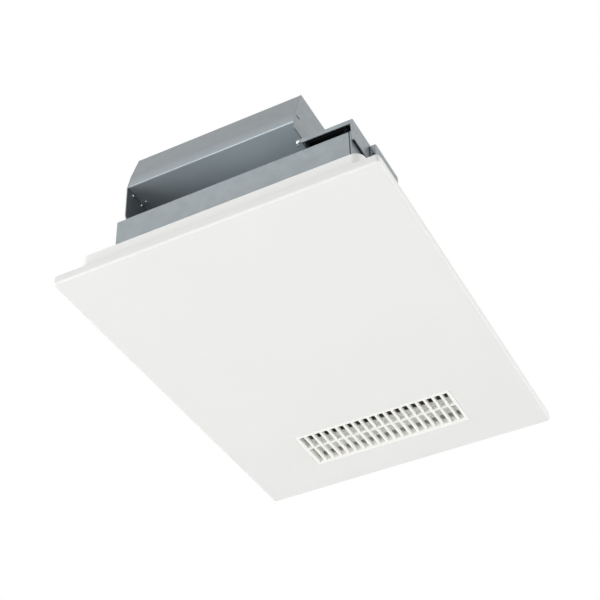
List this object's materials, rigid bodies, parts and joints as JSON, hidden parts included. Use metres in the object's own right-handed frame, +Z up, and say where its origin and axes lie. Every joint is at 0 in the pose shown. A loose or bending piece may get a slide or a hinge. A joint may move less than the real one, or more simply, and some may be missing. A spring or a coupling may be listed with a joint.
{
  "type": "bathroom heater ventilator",
  "caption": "Ceiling-recessed bathroom heater ventilator: white front plate with louvred warm-air outlet, galvanised body, fan, heater, damper and duct collar.",
  "frame": {"origin": "centre of the front panel's room face, the lowest plane of the unit", "axes": "+Z up into the ceiling, +Y along the long side towards the exhaust collar, +X across to the low casing with the cable slot"},
  "size_m": [0.37, 0.489, 0.21],
  "materials": {
    "white_panel": "satin white",
    "white_grille": "satin bright white",
    "galvanised": "galvanised, dull with fine spangle",
    "bright_steel": "zinc plated",
    "grey_plastic": "matte",
    "dark_plastic": "matte",
    "circuit_green": "solder resist",
    "heater_metal": "plain",
    "rubber": "matte",
    "filter_mesh": "matte"
  },
  "bodies": {
    "housing": {"panel_base": "white_panel", "outlet_nozzle": "white_panel", "inlet_ring": "white_panel", "duct_collar": "white_panel", "outlet_duct": "galvanised", "near_end_plate": "galvanised", "frame_side_left": "galvanised", "frame_side_right": "galvanised", "frame_end_far": "galvanised", "middle_plate": "galvanised", "casing_right": "galvanised", "hood_shell": "galvanised", "hood_end_far": "galvanised", "hood_side_left": "galvanised", "hood_side_right": "galvanised", "recess_back": "galvanised", "scroll_housing": "galvanised", "scroll_cover": "galvanised", "motor_bracket": "galvanised", "fan_partition": "galvanised", "hanger_bracket_left_near": "galvanised", "hanger_bracket_left_far": "galvanised", "hanger_bracket_right_near": "galvanised", "louvre_motor": "bright_steel", "thermal_fuse": "bright_steel", "rail_screw": "bright_steel", "recess_screw_1": "bright_steel", "recess_screw_2": "bright_steel", "recess_screw_3": "bright_steel", "fan_motor": "bright_steel", "shutter_pin": "bright_steel", "base_screw_left_near": "bright_steel", "base_screw_left_far": "bright_steel", "base_screw_right_near": "bright_steel", "base_screw_right_far": "bright_steel", "heater_frame": "dark_plastic", "damper_motor": "dark_plastic", "control_box": "dark_plastic", "control_cover": "dark_plastic", "terminal_block": "grey_plastic", "circuit_board": "circuit_green", "heater_core": "heater_metal", "wire_bushing": "rubber"},
    "front": {"front_panel": "white_panel", "outlet_grille": "white_grille", "panel_arm_left_near": "white_panel", "panel_arm_left_far": "white_panel", "panel_arm_right_near": "white_panel", "panel_arm_right_far": "white_panel"},
    "filter": {"intake_filter": "filter_mesh"},
    "rotor": {"fan_rotor": "dark_plastic", "motor_shaft": "bright_steel", "rotor_nut": "bright_steel"},
    "louvre_near": {"louvre_vane_near": "white_grille"},
    "louvre_far": {"louvre_vane_far": "white_grille"},
    "louvre_link": {"louvre_link": "white_grille"},
    "damper": {"damper_flap": "galvanised"},
    "shutter": {"backdraft_shutter": "white_grille"}
  },
  "joints": [
    {"name": "panel_drop", "type": "slide", "parent": "housing", "child": "front", "axis": [0, 0, -1], "range_m": [0, 0.028]},
    {"name": "filter_slide", "type": "slide", "parent": "housing", "child": "filter", "axis": [0, -1, 0], "range_m": [0, 0.3]},
    {"name": "fan_spin", "type": "hinge", "parent": "housing", "child": "rotor", "pos_m": [-0.02, -0.05, 0.13], "axis": [0, 0, 1], "continuous": true},
    {"name": "louvre_tilt", "type": "hinge", "parent": "housing", "child": "louvre_near", "pos_m": [0, 0.178, 0.017], "axis": [-1, 0, 0], "range_deg": [0, 65]},
    {"name": "louvre_tilt_far", "type": "hinge", "parent": "housing", "child": "louvre_far", "pos_m": [0, 0.1905, 0.017], "axis": [-1, 0, 0], "range_deg": [0, 65]},
    {"name": "louvre_link_pivot", "type": "hinge", "parent": "louvre_near", "child": "louvre_link", "pos_m": [0, 0.17368, 0.02373], "axis": [-1, 0, 0], "range_deg": [-65, 0]},
    {"name": "damper_swing", "type": "hinge", "parent": "housing", "child": "damper", "pos_m": [0, 0.196, 0.1083], "axis": [-1, 0, 0], "range_deg": [0, 92]},
    {"name": "shutter_swing", "type": "hinge", "parent": "housing", "child": "shutter", "pos_m": [-0.026, 0.2113, 0.193], "axis": [1, 0, 0], "range_deg": [0, 60]}
  ],
  "couplings": [
    {"joint": "louvre_tilt_far", "follows": "louvre_tilt", "ratio": 1},
    {"joint": "louvre_link_pivot", "follows": "louvre_tilt", "ratio": -1}
  ]
}
